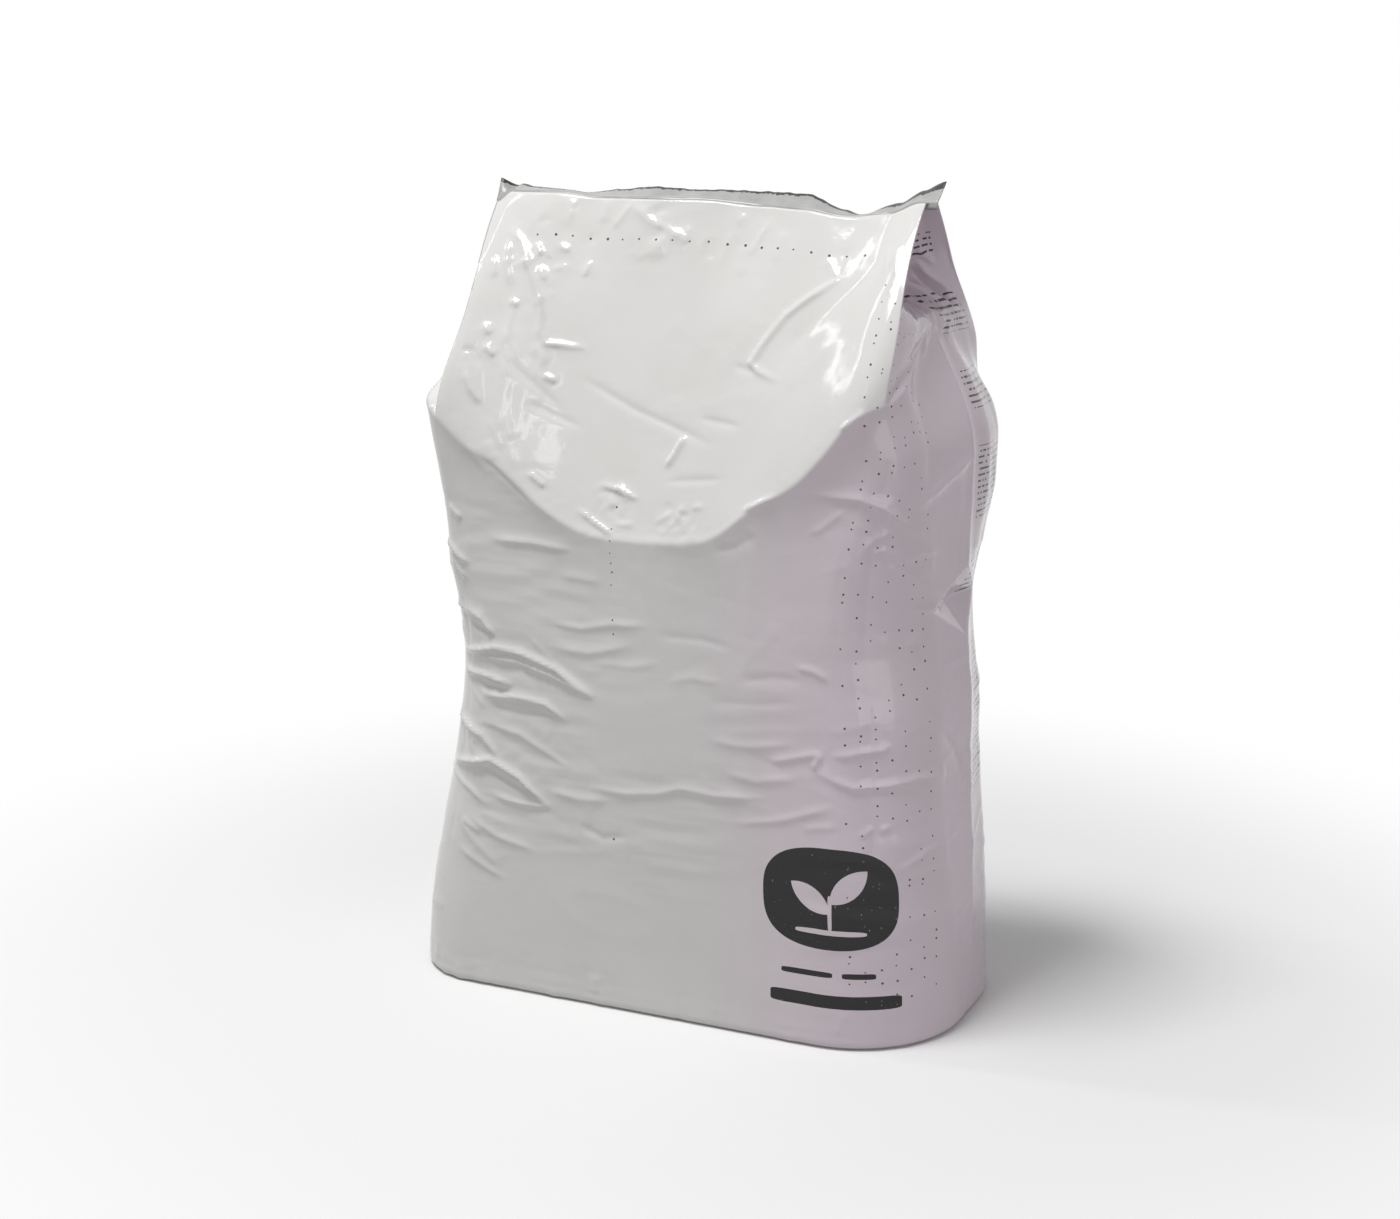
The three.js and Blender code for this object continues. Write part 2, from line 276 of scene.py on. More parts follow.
# %% Folds placed one by one
PLACED_FOLDS = [
    # height and width in millimetres, then points on the film as (round, up), also in millimetres
    # Pleats that run in from the left edge at the waist
    (4.8, 3.0, (-215, 299), (-166, 309), (-135, 308), (-96, 299), (-55, 280)),
    (3.1, 2.7, (-185, 299), (-139, 299), (-102, 293), (-74, 285), (-55, 279)),
    (4.1, 2.7, (-215, 282), (-181, 284), (-146, 279)),
    (-2.4, 3.0, (-185, 274), (-146, 271)),
    (3.4, 3.0, (-178, 266), (-135, 269), (-105, 267), (-83, 255)),
    (-2.0, 3.6, (-169, 257), (-135, 255), (-92, 257)),
    (3.1, 3.0, (-225, 242), (-177, 230), (-158, 214)),
    (1.7, 3.0, (-179, 242), (-134, 236), (-79, 215)),
    (4.8, 3.0, (-222, 197), (-165, 210), (-131, 199), (-98, 177)),
    (-2.4, 3.0, (-176, 202), (-130, 187), (-108, 179)),
    (2.4, 2.7, (-154, 177), (-126, 175), (-98, 176)),
    (2.0, 3.0, (-236, 191), (-185, 179), (-163, 168)),
    (1.7, 3.0, (-178, 154), (-150, 142), (-112, 135)),
    (1.4, 3.0, (-190, 152), (-166, 143)),
    (1.7, 3.6, (-187, 125), (-168, 116), (-142, 105)),
    # Short streaks down the left edge
    (3.0, 3.0, (-225, 397), (-185, 381)),
    (2.5, 3.0, (-208, 430), (-190, 420)),
    (2.5, 3.0, (-213, 384), (-191, 366)),
    (3.5, 3.4, (-200, 340), (-180, 334), (-165, 318)),
    (-2.5, 3.0, (-195, 326), (-165, 317)),
    (2.5, 3.0, (-224, 341), (-197, 336)),
    # Level wrinkles across the front
    (1.8, 5.0, (-96, 338), (-66, 337), (-31, 344), (4, 345)),
    (1.4, 6.0, (-93, 317), (-59, 316), (-17, 326)),
    (1.2, 6.0, (-56, 308), (-13, 309), (17, 315)),
    (-1.2, 6.0, (12, 338), (55, 338), (88, 332)),
    (1.2, 6.0, (24, 300), (48, 306), (74, 304)),
    (-1.2, 6.0, (92, 306), (120, 312), (147, 311)),
    (1.8, 3.5, (143, 322), (158, 320), (171, 313)),
    (-1.0, 6.0, (64, 287), (105, 288), (137, 292)),
    (1.6, 6.0, (64, 255), (94, 252), (138, 258)),
    (1.6, 6.0, (79, 228), (106, 225), (144, 232)),
    (2.2, 4.0, (118, 242), (142, 248), (162, 253)),
    (2.2, 3.5, (163, 253), (155, 239)),
    (2.0, 4.0, (173, 251), (195, 255), (220, 258)),
    (2.6, 5.0, (159, 237), (189, 226), (217, 227), (246, 230), (287, 226)),
    (1.8, 5.0, (83, 186), (126, 194), (172, 209)),
    (1.2, 4.0, (146, 189), (175, 193)),
    (1.4, 3.0, (194, 185), (204, 192)),
    (1.2, 3.0, (210, 189), (219, 192)),
    (2.4, 4.5, (-52, 200), (-17, 199), (13, 203), (35, 210), (66, 208), (111, 211)),
    (1.8, 5.0, (-97, 191), (-65, 189), (-37, 190)),
    (-2.0, 6.0, (-64, 164), (-41, 156), (-17, 160)),
    (1.4, 3.0, (229, 157), (254, 167), (307, 173)),
    (-2.0, 8.0, (273, 265), (301, 241), (314, 219)),
    (2.5, 5.0, (-156, 405), (-116, 406), (-74, 403)),
    (1.2, 6.0, (-85, 380), (-43, 378)),
    # The right of the front and its corner, under the shoulder
    (3.0, 6.0, (138, 472), (163, 469), (185, 468), (208, 460), (229, 446), (252, 433)),
    (3.0, 9.0, (239, 457), (291, 478), (335, 495)),
    (1.5, 5.0, (147, 434), (157, 440), (173, 457)),
    (1.6, 4.0, (194, 418), (214, 422), (234, 412), (254, 418), (285, 413)),
    (1.6, 4.0, (196, 422), (205, 433), (217, 437)),
    (1.6, 5.0, (216, 408), (245, 399), (262, 386), (294, 373)),
    (2.2, 5.0, (245, 369), (299, 362), (294, 373)),
    (-2.0, 9.0, (65, 413), (85, 418), (103, 431)),
    (1.6, 5.0, (260, 347), (242, 338)),
    # Film crushed into the top of the right gusset
    (-9.0, 8.0, (398, 662), (408, 642), (422, 625)),
    (3.0, 4.0, (410, 664), (419, 648), (430, 636)),
    (3.0, 4.0, (394, 649), (396, 632), (406, 622)),
    (2.0, 3.0, (411, 676), (429, 662)),
    # Thin creases of the head
    (2.8, 2.6, (-177, 681), (-166, 674), (-154, 652), (-139, 623), (-132, 596), (-125, 585), (-107, 583),
     (-89, 582)),
    (2.5, 2.6, (-177, 673), (-176, 655), (-168, 635)),
    (2.2, 2.6, (-188, 659), (-185, 642)),
    (2.2, 2.6, (-150, 672), (-146, 661)),
    (2.2, 2.6, (-145, 651), (-138, 640)),
    (1.9, 2.6, (-130, 670), (-120, 667)),
    (1.9, 2.6, (-100, 659), (-103, 645)),
    (2.2, 2.6, (-182, 600), (-175, 592)),
    (2.5, 3.0, (-177, 582), (-165, 573)),
    (2.2, 3.0, (-166, 622), (-157, 618)),
    (2.5, 2.6, (-119, 556), (-107, 551)),
    (2.8, 2.6, (135, 660), (112, 638), (93, 618), (78, 593), (70, 576), (76, 570), (97, 563)),
    (2.5, 2.6, (164, 529), (175, 538), (186, 546)),
    (2.5, 2.6, (91, 452), (104, 460), (117, 467)),
    (2.9, 2.6, (21, 509), (18, 503), (14, 492), (8, 481)),
    (2.5, 2.6, (-49, 462), (-31, 459), (-12, 452)),
    (2.8, 2.6, (-66, 439), (-50, 430), (-30, 420)),
    (2.5, 2.6, (-115, 470), (-99, 458)),
    (2.5, 2.6, (-186, 559), (-177, 543), (-166, 530)),
    # Drag lines, which are grooves
    (-1.2, 3.0, (-166, 578), (-129, 551), (-93, 523)),
    (-1.2, 3.0, (-125, 531), (-102, 521), (-79, 512)),
    (-1.3, 3.0, (-82, 553), (-57, 541), (-31, 529), (5, 517), (44, 504)),
    (-1.2, 3.0, (33, 525), (69, 521)),
    (-1.0, 3.0, (13, 469), (63, 475)),
    (-1.0, 3.0, (55, 572), (78, 568)),
    (-1.6, 4.0, (-160, 482), (-136, 463), (-113, 443)),
    (-1.3, 3.0, (-196, 579), (-185, 577), (-175, 563)),
    # Broad, soft hollows and swells of the head
    (-2.0, 16.0, (178, 694), (152, 655), (124, 622), (106, 598), (92, 575)),
    (2.0, 6.0, (-65, 710), (-48, 697), (-9, 680)),
    (-2.0, 14.0, (-46, 711), (-32, 680)),
    (-1.5, 14.0, (-182, 704), (-153, 674), (-126, 645)),
]

# %% Folds scattered by zone
FOLD_ZONES = [
    # lowest and highest distance round and up, count, slope in degrees and its spread, lengths, height,
    # width
    (-210, -60, 100, 345, 16, -26, 12, (30, 70), 1.5, 6.0),
    (-100, 160, 120, 385, 20, -2, 14, (40, 120), 0.7, 10.0),
    (100, 300, 100, 450, 28, 8, 24, (25, 80), 0.9, 7.0),
    (-185, 190, 450, 690, 14, 75, 40, (40, 110), 0.6, 14.0),
    (-55, -20, 415, 462, 18, 0, 60, (8, 22), 1.5, 2.6),
    (8, 46, 418, 452, 20, 0, 60, (8, 20), 1.6, 2.6),
    (-175, -115, 600, 700, 14, 60, 40, (8, 20), 1.4, 2.6),
    (-180, -118, 470, 600, 24, -65, 14, (20, 60), 1.1, 3.5),
    (-190, 190, 660, 708, 26, 85, 25, (10, 40), 1.2, 3.5),
    (300, 360, 590, 660, 16, 20, 50, (15, 40), 2.0, 4.0),
    (300, 460, 60, 440, 30, 4, 16, (30, 100), 1.5, 7.0),
    (460, 860, 60, 480, 60, 0, 14, (40, 120), 1.3, 8.0),
    (860, 1105, 60, 440, 40, 10, 18, (30, 100), 1.8, 8.0),
    (-657, 657, 4, 26, 70, 88, 8, (12, 36), 1.2, 5.0),
]


def scattered_folds(seed):
    """Strokes with their middle anywhere in a zone, turned by the zone's slope and spread."""
    draw = np.random.default_rng(seed)
    strokes = []
    for left, right, low, high, count, slope, spread, lengths, height, width in FOLD_ZONES:
        middle = np.stack([draw.uniform(left, right, count), draw.uniform(low, high, count)], axis=-1)
        turn = np.radians(draw.normal(slope, spread, count))
        reach = draw.uniform(*lengths, count)[:, None] / 2 * np.stack([np.cos(turn), np.sin(turn)], axis=-1)
        heights = height * draw.uniform(0.3, 1.0, count) * draw.choice([-0.6, 1, 1], count)
        widths = width * draw.uniform(0.7, 1.3, count)
        strokes += zip(heights, widths, middle - reach, middle + reach)
    return strokes


FOLD_SEED = 11
strokes = PLACED_FOLDS + scattered_folds(FOLD_SEED)
print(len(strokes), "strokes")

# %% How far the folds lift the film
def line_gap(s, t, points):
    """Distance on the film to a line through points, and the share of the line's length at the nearest
    place on it."""
    steps = np.diff(points, axis=0)
    lengths = np.hypot(*steps.T)
    starts = np.concatenate([[0], lengths.cumsum()])
    nearest = np.full(np.broadcast(s, t).shape, np.inf)
    share = np.zeros_like(nearest)
    for (s0, t0), (ds, dt), length, start in zip(points, steps, lengths, starts):
        off = wrapped(s - s0)
        place = np.clip((off * ds + (t - t0) * dt) / length**2, 0, 1)
        gap = np.hypot(off - place * ds, t - t0 - place * dt)
        share = np.where(gap < nearest, (start + place * length) / starts[-1], share)
        nearest = np.minimum(gap, nearest)
    return nearest, share


def fold_heights(s, t, strokes, pitch):
    """How far the strokes lift the film. At d widths from its line a stroke has exp(1.4 (0.3 - sqrt(d^2 +
    0.09))) of its height, which is a sharp crest with hollow flanks, and it fades at both ends. A stroke
    finer than the grid's pitch is drawn wider and lower."""
    lift = np.zeros(np.broadcast(s, t).shape)
    for height, width, *points in strokes:
        points = np.array(points) / 1000
        drawn = max(width / 1000, 1.3 * pitch)
        middle = (points.min(axis=0) + points.max(axis=0)) / 2
        reach = np.ptp(points, axis=0) / 2 + 4 * drawn
        rows = np.flatnonzero(np.abs(t[:, 0] - middle[1]) < reach[1])
        columns = np.flatnonzero(np.abs(wrapped(s[0] - middle[0])) < reach[0])
        gap, share = line_gap(s[:, columns], t[rows], points)
        crest = np.exp(1.4 * (0.3 - np.sqrt((gap / drawn) ** 2 + 0.09)))
        fade = np.minimum(1, 0.2 + 5 * share * (1 - share))
        lift[np.ix_(rows, columns)] += height / 1000 * width / 1000 / drawn * crest * fade
    return lift


# %% How slack the film is from place to place
def blob(s, t, s0, t0, s_reach, t_reach):
    """1 at a place on the film, fading as exp(-r^2) over its reach."""
    return np.exp(-((wrapped(s - s0) / s_reach) ** 2) - ((t - t0) / t_reach) ** 2)


def patches(s, t, round_size, up_size, seed):
    """Smooth patches between 0 and 1: a sum of waves of about those sizes, whole numbers of them round the
    tube, in fixed random directions and phases."""
    draw = np.random.default_rng(seed)
    total = np.zeros(np.broadcast(s, t).shape)
    for _ in range(30):
        turn, phase = draw.uniform(0, 2 * np.pi, 2)
        count = round(TUBE / round_size * math.cos(turn))
        total += np.cos(2 * np.pi * (count * s / TUBE + t / up_size * math.sin(turn)) + phase)
    return ease(total / 30**0.5, -0.9, 1.1)


def slack_maps(s, t):
    """Spare film, as a share of its length: round the tube, and up it."""
    head = ease(t, 0.42, 0.50) * np.ones_like(s)
    body = ease(t, 0.03, 0.12) * (1 - head)
    waist = blob(s, t, -0.165, 0.26, 0.10, 0.10) + 0.3 * blob(s, t, 0.24, 0.34, 0.10, 0.06)
    up_film = 0.001 + body * (0.003 * patches(s, t, 0.16, 0.16, 3) + 0.008 * waist) + 0.001 * head
    round_film = 0.001 + 0.003 * body * patches(s, t, 0.2, 0.2, 4) + 0.001 * head
    return round_film, up_film


def unevenness(s, t):
    """Broad, low waves of the film in metres: level over the fill, and up and down in the head."""
    head = ease(t, 0.41, 0.48)
    level = patches(s, t, 0.17, 0.06, 21) - 0.5
    hanging = patches(s, t, 0.08, 0.18, 22) - 0.5
    return 0.0016 * mix(level * ease(t, 0.0, 0.08), hanging * (1 - ease(t, 0.66, 0.70)), head)


# %% Settle the film on its fill
FILM_LINKS = [
    # steps up, steps round, and the share of an error that each round takes off
    (0, 1, 0.4),
    (1, 0, 0.4),
    (1, 1, 0.25),
    (1, -1, 0.25),
    (0, 2, 0.06),
    (2, 0, 0.06),
]


def link_gaps(film, steps_up, steps_round):
    """The gap from every point to the one some steps up and round."""
    far = np.roll(film, -steps_round, axis=1)[steps_up:]
    return far - film[:len(film) - steps_up]


def surface_normals(points):
    """Outward unit normals of the tube's grid, from its central differences."""
    round_step = np.roll(points, -1, axis=1) - np.roll(points, 1, axis=1)
    up_step = np.gradient(points, axis=0)
    normals = np.cross(round_step, up_step)
    return normals / np.linalg.norm(normals, axis=-1, keepdims=True)


FOLD_SAG = 0.4


def fold_film(form, lift):
    """The form with its folds: lifted along the normal, and let down by a share of the lift, so that a
    ridge hangs over its lower side."""
    upward = np.gradient(form, axis=0)
    upward /= np.linalg.norm(upward, axis=-1, keepdims=True)
    return form + lift * surface_normals(form) - FOLD_SAG * np.maximum(0, lift) * upward


def settle(film, s, t, lift, rounds):
    """Puts every length of film back to its own length, a round at a time: both ends of a link move by a
    share of its error. Its own length is the form's, with its folds and slack. After each round the film is
    drawn a little to the fill, and kept within its room on both sides of it."""
    guide = sack_form(s, t)
    outward = surface_normals(guide)
    folded = fold_film(guide, lift)
    slack_round, slack_up = slack_maps(s, t)
    lengths = []
    for steps_up, steps_round, _ in FILM_LINKS:
        span = np.linalg.norm(link_gaps(folded, steps_up, steps_round), axis=-1)
        ways = abs(steps_up) + abs(steps_round)
        slack = (slack_up * abs(steps_up) + slack_round * abs(steps_round)) / ways
        lengths.append(span * (1 + slack[:len(span)]))
    head = ease(t, 0.40, 0.50)
    room_in = mix(-0.0025, -0.008, head)
    pull = mix(0.004, 0.001, head)
    film = film.copy()
    for _ in range(rounds):
        for (steps_up, steps_round, share), length in zip(FILM_LINKS, lengths):
            gap = link_gaps(film, steps_up, steps_round)
            now = np.sqrt(np.einsum("ijk,ijk->ij", gap, gap))
            move = gap * (share * (1 - length / now))[..., None]
            film[:len(move)] += move
            film[steps_up:] -= np.roll(move, steps_round, axis=1)
        height = np.einsum("ijk,ijk->ij", film - guide, outward)
        kept = np.clip(height * (1 - pull), room_in, 0.012)
        film += (kept - height)[..., None] * outward
        film[[0, -1]] = guide[[0, -1]]
    return film


def finer(field):
    """A field on a grid, on the grid with new points half way between its own."""
    halves = (field + np.roll(field, -1, axis=1)) / 2
    wide = np.stack([field, halves], axis=2).reshape(len(field), -1, field.shape[-1])
    tall = np.empty((2 * len(wide) - 1, *wide.shape[1:]))
    tall[::2] = wide
    tall[1::2] = (wide[1:] + wide[:-1]) / 2
    return tall


# %% Run the settling, on a coarse grid first
moved = None
for coarser, rounds in ((4, 300), (2, 150), (1, 70)):
    s = film_columns(PANEL_COLUMNS // coarser, GUSSET_COLUMNS // coarser)[None, :]
    t = np.linspace(0, FILM_HEIGHT, (ROWS - 1) // coarser + 1)[:, None]
    form = sack_form(s, t)
    folds = fold_heights(s, t, strokes, FILM_HEIGHT / (len(t) - 1))
    lift = (folds + unevenness(s, t))[..., None]
    if moved is None:
        start = fold_film(form, lift)
    else:
        start = finer(moved) + form + fold_film(form, lift) - fold_film(form, finer(coarse_lift))
    settled = settle(start, s, t, lift, rounds)
    moved = settled - form
    coarse_lift = lift
print("settled box", settled.reshape(-1, 3).min(0).round(4), settled.reshape(-1, 3).max(0).round(4))

# %% [markdown]
# ## The mesh of the film
#
# The tube is closed at both ends: below by a flat base in shrinking rings, where the folded film lies on
# the floor, and above by the mouth, whose front edge is joined to its back edge inside the weld. A UV map
# keeps the two film distances, in metres, for the print and the needle holes. A lilac cast is painted into
# the film's colour as shade: it stands for pinkish light on the shaded right of the sack and is left off the
# brightly lit head. It follows the line where the film leaves the fill, which only the form knows, so it is
# kept on the points of the mesh.

# %% Film mesh
BASE_RINGS = 12


def add_piece(name, vertices, faces, corner_uv):
    """A smooth mesh piece with a UV map in metres of film."""
    mesh = bpy.data.meshes.new(name)
    mesh.from_pydata(vertices, [], faces)
    mesh.shade_smooth()
    mesh.uv_layers.new(name="film").data.foreach_set("uv", corner_uv(mesh).ravel())
    piece = bpy.data.objects.new(name, mesh)
    bpy.context.scene.collection.objects.link(piece)
    print(name, len(vertices), "vertices", len(faces), "faces")
    return piece


def corner_numbers(mesh):
    """The vertex number of every face corner."""
    numbers = np.empty(len(mesh.loops), dtype=np.int32)
    mesh.loops.foreach_get("vertex_index", numbers)
    return numbers


def far_corners(mesh, uv):
    """Corners of the faces that cross the back's middle, where the distance round the film starts again."""
    counts = np.empty(len(mesh.polygons), dtype=np.int32)
    mesh.polygons.foreach_get("loop_total", counts)
    face_of = np.repeat(np.arange(len(counts)), counts)
    highest = np.full(len(counts), -1.0)
    np.maximum.at(highest, face_of, uv[:, 0])
    return highest[face_of] > 1.5 * QUARTER


def film_sack(points):
    """The film as one closed skin of quads, with triangles only at the base's middle and the mouth's
    ends."""
    rows, columns = points.shape[:2]
    shares = np.linspace(0, 1, BASE_RINGS)[1:-1, None, None]
    centre = points[0].mean(axis=0)
    base = mix(points[0], centre, shares)
    vertices = np.concatenate([points.reshape(-1, 3), base.reshape(-1, 3), centre[None]])
    tube = np.arange(rows * columns).reshape(rows, columns)
    rings = np.arange(base.size // 3).reshape(-1, columns) + tube.size
    stack = np.concatenate([rings[::-1], tube])
    low, high = stack[:-1], stack[1:]
    quads = np.stack([low, np.roll(low, -1, 1), np.roll(high, -1, 1), high], axis=-1)
    faces = quads.reshape(-1, 4).tolist()
    inner = rings[-1]
    faces += np.stack([np.roll(inner, -1), inner, np.full_like(inner, len(vertices) - 1)], axis=-1).tolist()
    front = np.arange(-columns // 4, columns // 4 + 1)
    back = (columns // 2 - front) % columns
    top = tube[-1]
    mouth = np.stack([top[front[:-1]], top[front[1:]], top[back[1:]], top[back[:-1]]], axis=-1)
    faces += mouth[1:-1].tolist() + [mouth[0, :3].tolist(), mouth[-1, [0, 1, 3]].tolist()]
    tube_uv = np.stack(np.broadcast_arrays(wrapped(around)[None, :], up[:, None]), axis=-1)
    ring_uv = np.stack(np.broadcast_arrays(wrapped(around)[None, :], -shares[..., 0] * 0.12), axis=-1)
    film_uv = np.concatenate([tube_uv.reshape(-1, 2), ring_uv.reshape(-1, 2), [[0, -0.12]]])

    def corner_uv(mesh):
        uv = film_uv[corner_numbers(mesh)]
        uv[(uv[:, 0] < -1.5 * QUARTER) & far_corners(mesh, uv), 0] += TUBE
        return uv

    return add_piece("film_sack", vertices, faces, corner_uv)


def painted_lilac_shade(s, t):
    """How much lilac shade is painted on the film. It stands for pinkish light on the shaded film: it comes
    in across the front under the U, covers the right gusset, and fades out on the back. The front of the
    head, which is brightly lit, stays white."""
    facing = np.where(s <= QUARTER, -1.0, 1.0)
    in_head = head_share(np.clip(s, 0, PANEL_HALF), t, 1.0, facing)
    front = ease(s, -0.01, 0.21) * (1 - in_head)
    return np.where(s > PANEL_HALF, 1 - ease(s, 0.46, 0.62), front)


sack = film_sack(settled)
# Painted lilac shade, worked out from the form and kept on the mesh's points
lilac_shade_paint = painted_lilac_shade(wrapped(around)[None, :], up[:, None])
lilac_shade_paint = np.concatenate([lilac_shade_paint.ravel(), np.tile(lilac_shade_paint[0], BASE_RINGS - 2), [0.5]])
sack.data.attributes.new("lilac", "FLOAT", "POINT").data.foreach_set("value", lilac_shade_paint)

# %% [markdown]
# ## The weld
#
# Under the welding bar the two panels and the folded gussets melt into one flat strip. It is thinner and
# greyer than the film, and its cut edge shows the film's black inner layer. Nothing holds it up between its
# ends, so it leans back by a different amount all along. It is a ribbon: a path along the mouth, and a
# height up the strip that turns with the lean.

# %% Weld strip
WELD_HEIGHT = 0.021
WELD_SUNK = 0.005
WELD_HALF_THICK = 0.0007
WELD_COLUMNS = 320
WELD_ROWS = 12


def weld_lean(x):
    """The strip's lean from upright in radians: least at its two ends, and almost flat in two places."""
    degrees = along(x, (-0.2035, 30), (-0.19, 72), (-0.17, 80), (-0.128, 87), (-0.093, 71), (-0.056, 62),
                    (-0.015, 68), (0.05, 57), (0.08, 55), (0.115, 79), (0.13, 87), (0.163, 68), (0.185, 62),
                    (0.2035, 44))
    return np.radians(degrees)


def weld_ribbon(face):
    """One face of the strip: face is 1 for its front and -1 for its back."""
    x = np.linspace(-PANEL_HALF, PANEL_HALF, WELD_COLUMNS)[None, :]
    climb = np.linspace(0, 1, WELD_ROWS)[:, None]
    sway, rise = mouth_wave(x)
    end = ease(np.abs(x), 0.188, PANEL_HALF)
    ragged = 0.0004 * np.sin(x / 0.0031) + 0.0003 * np.sin(x / 0.0017 + 1.0) + 0.002 * end
    reach = climb * (WELD_HEIGHT + WELD_SUNK + ragged * climb) - WELD_SUNK
    lean = weld_lean(x) * ease(reach, -0.001, 0.006)
    ripple = (0.0012 * np.sin(x / 0.006) + 0.0008 * np.sin(x / 0.0037 + 2.0)) * climb
    y = sway + np.maximum(reach, 0) * np.sin(lean) - face * WELD_HALF_THICK * (1 - 0.6 * climb) + ripple
    z = MOUTH_HEIGHT + rise + reach * np.cos(lean)
    return np.stack(np.broadcast_arrays(x + np.sign(x) * 0.0015 * end * climb, y, z), axis=-1)


def weld_strip():
    """Front and back ribbons joined round all four edges into one closed thin strip."""
    ribbon = np.concatenate([weld_ribbon(1), weld_ribbon(-1)[::-1]])
    vertices = ribbon.reshape(-1, 3)
    grid = np.arange(len(vertices)).reshape(ribbon.shape[:2])
    low, high = grid, np.roll(grid, -1, axis=0)
    faces = np.stack([low[:, :-1], low[:, 1:], high[:, 1:], high[:, :-1]], axis=-1).reshape(-1, 4).tolist()
    inner = np.arange(WELD_ROWS - 1)
    for column, turn in ((0, 1), (-1, -1)):
        near, far = grid[inner, column], grid[inner + 1, column]
        mirror_near, mirror_far = grid[-1 - inner, column], grid[-2 - inner, column]
        faces += np.stack([near, far, mirror_far, mirror_near], axis=-1)[:, ::turn].tolist()
    climb = np.concatenate([np.linspace(0, 1, WELD_ROWS), np.linspace(1, 0, WELD_ROWS)])[:, None]
    strip_uv = np.stack(np.broadcast_arrays(ribbon[..., 0], climb * WELD_HEIGHT), axis=-1).reshape(-1, 2)
    return add_piece("weld_strip", vertices, faces, lambda mesh: strip_uv[corner_numbers(mesh)])


weld = weld_strip()

# %% [markdown]
# ## White polyethylene film
#
# The film is blown from polyethylene, white outside and black inside, and shiny because it was never
# embossed. White light scatters in it, so its colour is a soft white, and its smooth face gives sharp
# glints along every crease. A pale lilac is painted into the colour as shade on the right of the sack: it
# stands for pinkish light on the shaded film, fades in across the front and stays off the lit head. It
# follows the painted shade on the mesh's points. The print and the holes are drawn by the film distances in
# the UV map. The print is a plain badge with a sprout on it, two bars and a broad bar, all of them worn.

# %% Node helper and colours
def linear(code):
    """An sRGB hex colour as linear RGBA."""
    srgb = np.array([int(code[i:i + 2], 16) for i in (1, 3, 5)]) / 255
    rgb = np.where(srgb <= 0.04045, srgb / 12.92, ((srgb + 0.055) / 1.055) ** 2.4)
    return (*rgb.tolist(), 1.0)


def node(tree, kind, inputs=(), **settings):
    """Adds a shader node. settings are its properties. inputs are its sockets, a list in their order or a
    dict by name or number, and each is a value, a socket, or a node whose first output is taken."""
    made = tree.nodes.new("ShaderNode" + kind)
    for name, value in settings.items():
        setattr(made, name, value)
    pairs = inputs.items() if isinstance(inputs, dict) else enumerate(inputs)
    for place, value in pairs:
        if isinstance(value, bpy.types.Node):
            value = next(output for output in value.outputs if output.enabled)
        if isinstance(value, bpy.types.NodeSocket):
            tree.links.new(value, made.inputs[place])
        else:
            made.inputs[place].default_value = value
    return made


def new_material(name):
    """An empty node material."""
    material = bpy.data.materials.new(name)
    material.use_nodes = True
    material.node_tree.nodes.clear()
    return material, material.node_tree


# %% Patterns on the film
def block(tree, place, centre, half_size, power):
    """1 inside a block: where |x / a|^n + |y / b|^n is under 1. A high n gives square corners."""
    off = node(tree, "VectorMath", [place, (*centre, 0)], operation="SUBTRACT")
    share = node(tree, "VectorMath", [off, (*half_size, 1)], operation="DIVIDE")
    size = node(tree, "VectorMath", [share], operation="ABSOLUTE")
    axes = node(tree, "SeparateXYZ", [size])
    x = node(tree, "Math", [axes.outputs[0], power], operation="POWER")
    y = node(tree, "Math", [axes.outputs[1], power], operation="POWER")
    total = node(tree, "Math", [x, y], operation="ADD")
    return node(tree, "Math", [total, 1.0], operation="LESS_THAN")


def leaf(tree, place, foot, tip, width):
    """1 inside a leaf, which is where two equal circles overlap."""
    foot, tip = np.array(foot), np.array(tip)
    length = np.linalg.norm(tip - foot)
    radius = (length**2 + width**2) / (4 * width)
    across = np.array([foot[1] - tip[1], tip[0] - foot[0]]) / length * (radius - width / 2)
    middle = (foot + tip) / 2
    gaps = [node(tree, "VectorMath", [place, (*(middle + turn * across), 0)], operation="DISTANCE")
            for turn in (1, -1)]
    furthest = node(tree, "Math", gaps, operation="MAXIMUM")
    return node(tree, "Math", [furthest, float(radius)], operation="LESS_THAN")


def either(tree, *masks):
    """The largest of some masks."""
    total = masks[0]
    for mask in masks[1:]:
        total = node(tree, "Math", [total, mask], operation="MAXIMUM")
    return total


def both(tree, *masks):
    """The product of some masks."""
    total = masks[0]
    for mask in masks[1:]:
        total = node(tree, "Math", [total, mask], operation="MULTIPLY")
    return total


def between(tree, value, low, high):
    """1 where a value is between two limits."""
    above = node(tree, "Math", [value, low], operation="GREATER_THAN")
    below = node(tree, "Math", [value, high], operation="LESS_THAN")
    return node(tree, "Math", [above, below], operation="MULTIPLY")


def cell_chance(tree, place, start, pitch, seed):
    """Splits the film into cells from start. Gives the place in its cell, and a chance and three more
    random numbers that are the same all over the cell."""
    off = node(tree, "VectorMath", [place, (*start, 0)], operation="SUBTRACT")
    cells = node(tree, "VectorMath", [off, (*pitch, 1)], operation="DIVIDE")
    cell = node(tree, "VectorMath", [cells], operation="FLOOR")
    keyed = node(tree, "VectorMath", [cell, (seed, seed, 0)], operation="ADD")
    chance = node(tree, "TexWhiteNoise", [keyed], noise_dimensions="2D")
    inside = node(tree, "VectorMath", [cells], operation="FRACTION")
    return inside, chance.outputs["Value"], chance.outputs["Color"]


